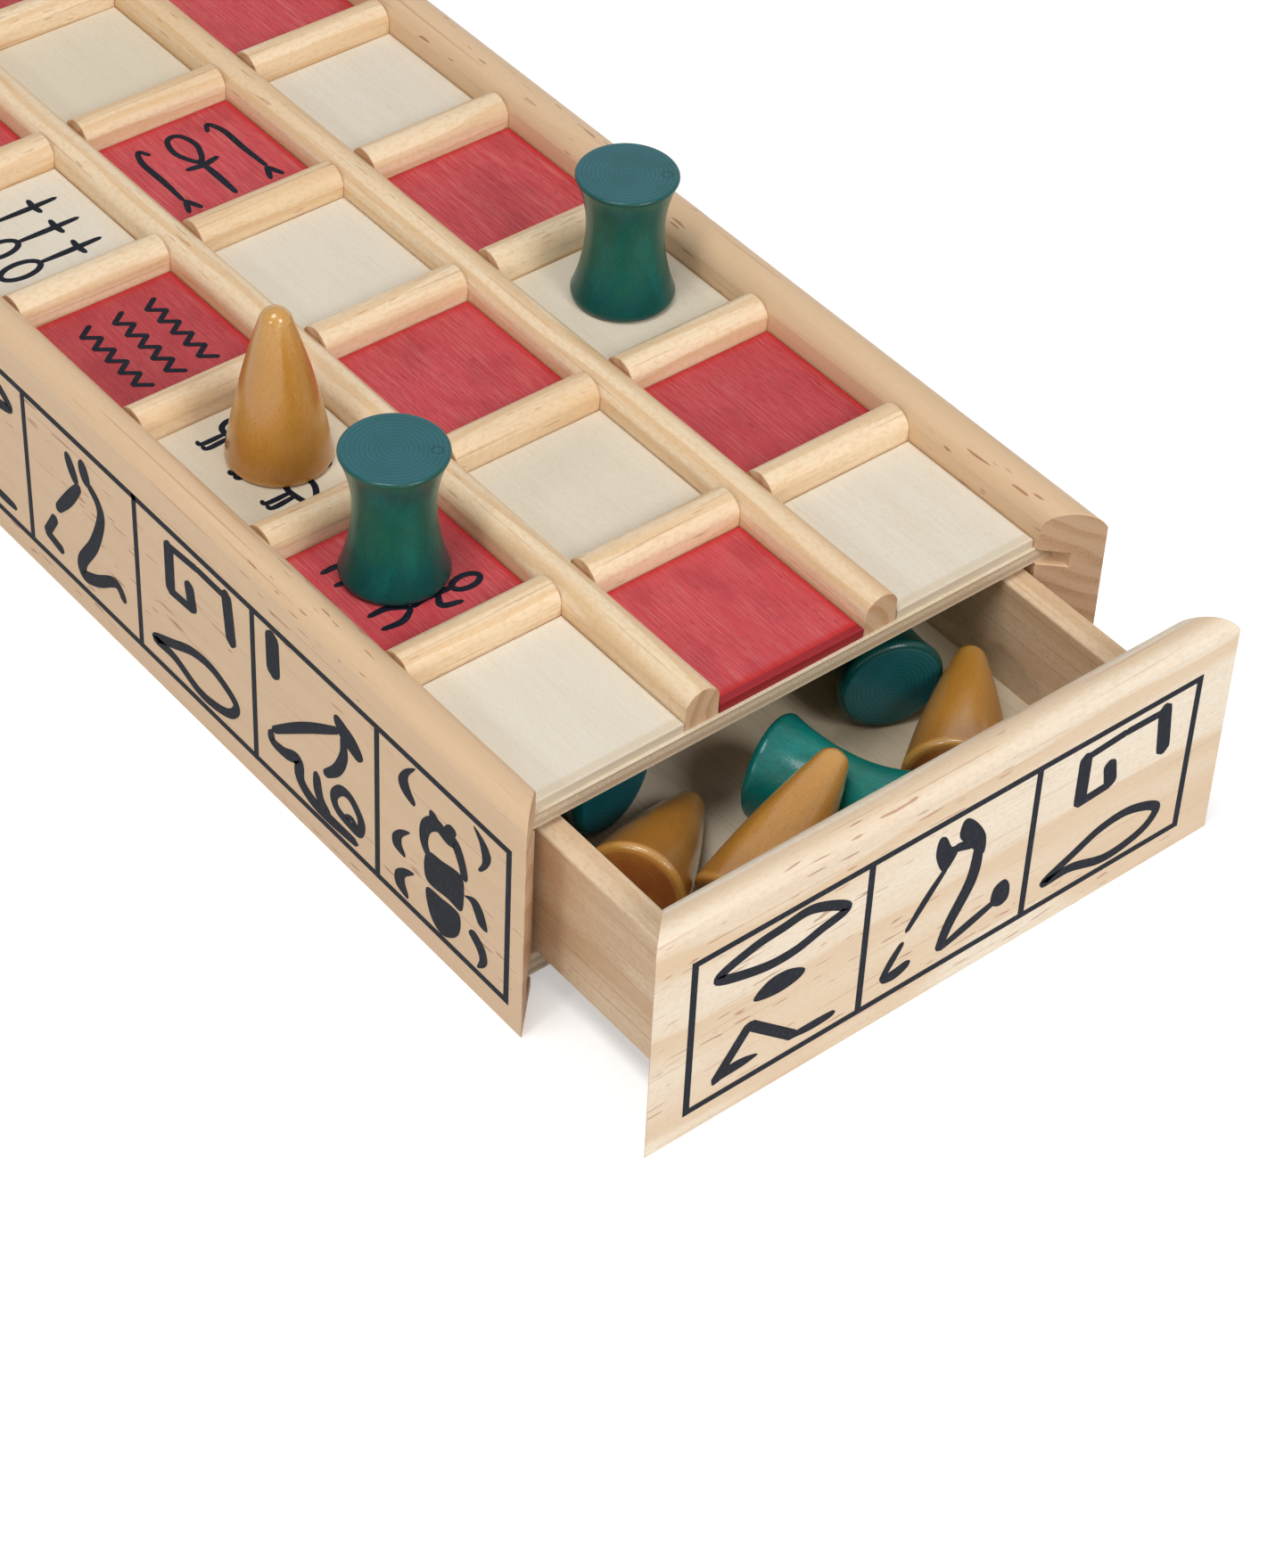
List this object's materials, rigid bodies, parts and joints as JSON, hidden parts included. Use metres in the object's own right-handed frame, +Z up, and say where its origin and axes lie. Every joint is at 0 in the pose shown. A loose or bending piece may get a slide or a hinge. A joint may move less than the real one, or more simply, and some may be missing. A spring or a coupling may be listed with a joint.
{
  "type": "senet game box",
  "caption": "Wooden race-game box: squares parted by D-section rails over a moulded case, turned cone and spool pawns, and a drawer that slides out of one end.",
  "frame": {"origin": "centre of the footprint on the table, with the drawer standing open as at rest", "axes": "+Z up, +Y along the board away from the drawer, +X to the right seen from the drawer end"},
  "size_m": [0.123, 0.4228, 0.0725],
  "materials": {
    "pine_moulding": "clear satin lacquer on planed pine, with end grain at the mitres",
    "rail_pine": "clear satin lacquer on half-round pine rail",
    "birch_plywood": "sanded birch plywood with its layers on the edges",
    "drawer_pine": "planed pine, thinly sealed",
    "plain_square": "sanded birch plywood, clear matt",
    "red_square": "plywood stained red, open grain, satin",
    "teal_stain": "turned beech with teal stain under gloss lacquer",
    "honey_varnish": "turned beech with honey-coloured gloss varnish"
  },
  "bodies": {
    "case": {"side_board_left": "pine_moulding", "side_board_right": "pine_moulding", "end_board": "pine_moulding", "top_panel": "birch_plywood", "bottom_panel": "birch_plywood", "long_rail_1": "rail_pine", "long_rail_2": "rail_pine", "cross_rails_1": "rail_pine", "cross_rails_2": "rail_pine", "cross_rails_3": "rail_pine", "square_1_01": "plain_square", "square_1_02": "red_square", "square_1_03": "plain_square", "square_1_04": "red_square", "square_1_05": "plain_square", "square_1_06": "red_square", "square_1_07": "plain_square", "square_1_08": "red_square", "square_1_09": "plain_square", "square_1_10": "red_square", "square_2_01": "red_square", "square_2_02": "plain_square", "square_2_03": "red_square", "square_2_04": "plain_square", "square_2_05": "red_square", "square_2_06": "plain_square", "square_2_07": "red_square", "square_2_08": "plain_square", "square_2_09": "red_square", "square_2_10": "plain_square", "square_3_01": "plain_square", "square_3_02": "red_square", "square_3_03": "plain_square", "square_3_04": "red_square", "square_3_05": "plain_square", "square_3_06": "red_square", "square_3_07": "plain_square", "square_3_08": "red_square", "square_3_09": "plain_square", "square_3_10": "red_square"},
    "drawer": {"drawer_front": "pine_moulding", "drawer_side_left": "drawer_pine", "drawer_side_right": "drawer_pine", "drawer_back": "drawer_pine", "drawer_bottom": "birch_plywood", "cone_2": "honey_varnish", "cone_3": "honey_varnish", "cone_4": "honey_varnish", "cone_5": "honey_varnish", "spool_3": "teal_stain", "spool_4": "teal_stain", "spool_5": "teal_stain"},
    "spool_1": {"spool_1": "teal_stain"},
    "cone_1": {"cone_1": "honey_varnish"},
    "spool_2": {"spool_2": "teal_stain"}
  },
  "joints": [
    {"name": "drawer_slide", "type": "slide", "parent": "case", "child": "drawer", "axis": [0, -1, 0], "range_m": [-0.0312, 0.2085]},
    {"name": "spool_1_lift", "type": "slide", "parent": "case", "child": "spool_1", "axis": [0, 0, 1], "range_m": [0, 0.06]},
    {"name": "cone_1_lift", "type": "slide", "parent": "case", "child": "cone_1", "axis": [0, 0, 1], "range_m": [0, 0.06]},
    {"name": "spool_2_lift", "type": "slide", "parent": "case", "child": "spool_2", "axis": [0, 0, 1], "range_m": [0, 0.06]}
  ]
}
